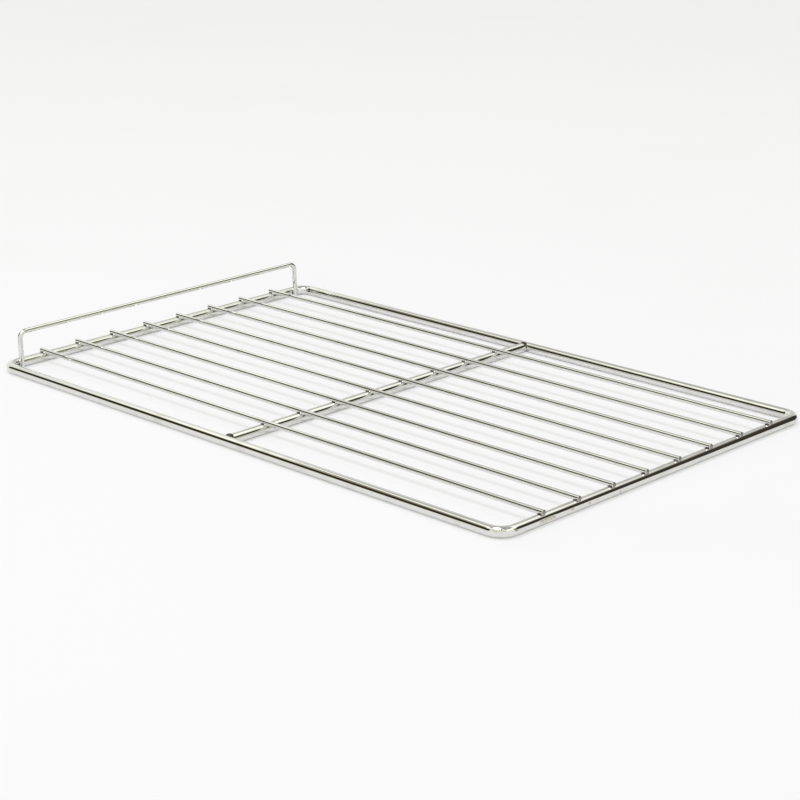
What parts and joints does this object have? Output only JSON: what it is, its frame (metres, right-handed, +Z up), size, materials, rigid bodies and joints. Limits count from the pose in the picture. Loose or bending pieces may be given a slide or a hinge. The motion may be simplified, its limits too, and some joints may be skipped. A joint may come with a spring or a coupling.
{
  "type": "wire rack",
  "caption": "Rectangular wire shelf for an oven: a round-cornered frame with a middle crossbar, thin rods along its length and a low upright guard at one end.",
  "frame": {"origin": "middle of the footprint, on the surface that the frame wire lies on", "axes": "+X along the rods, from the guarded end to the plain end; +Y across the rack; +Z up, the side that carries the food"},
  "size_m": [0.53, 0.325, 0.032],
  "materials": {
    "frame_wire": "bright plated drawn wire",
    "rod_wire": "bright plated drawn wire",
    "guard_wire": "bright plated drawn wire"
  },
  "bodies": {
    "root": {"frame": "frame_wire", "crossbar": "frame_wire", "rod_1": "rod_wire", "rod_2": "rod_wire", "rod_3": "rod_wire", "rod_4": "rod_wire", "rod_5": "rod_wire", "rod_6": "rod_wire", "rod_7": "rod_wire", "rod_8": "rod_wire", "back_guard": "guard_wire"}
  },
  "joints": []
}
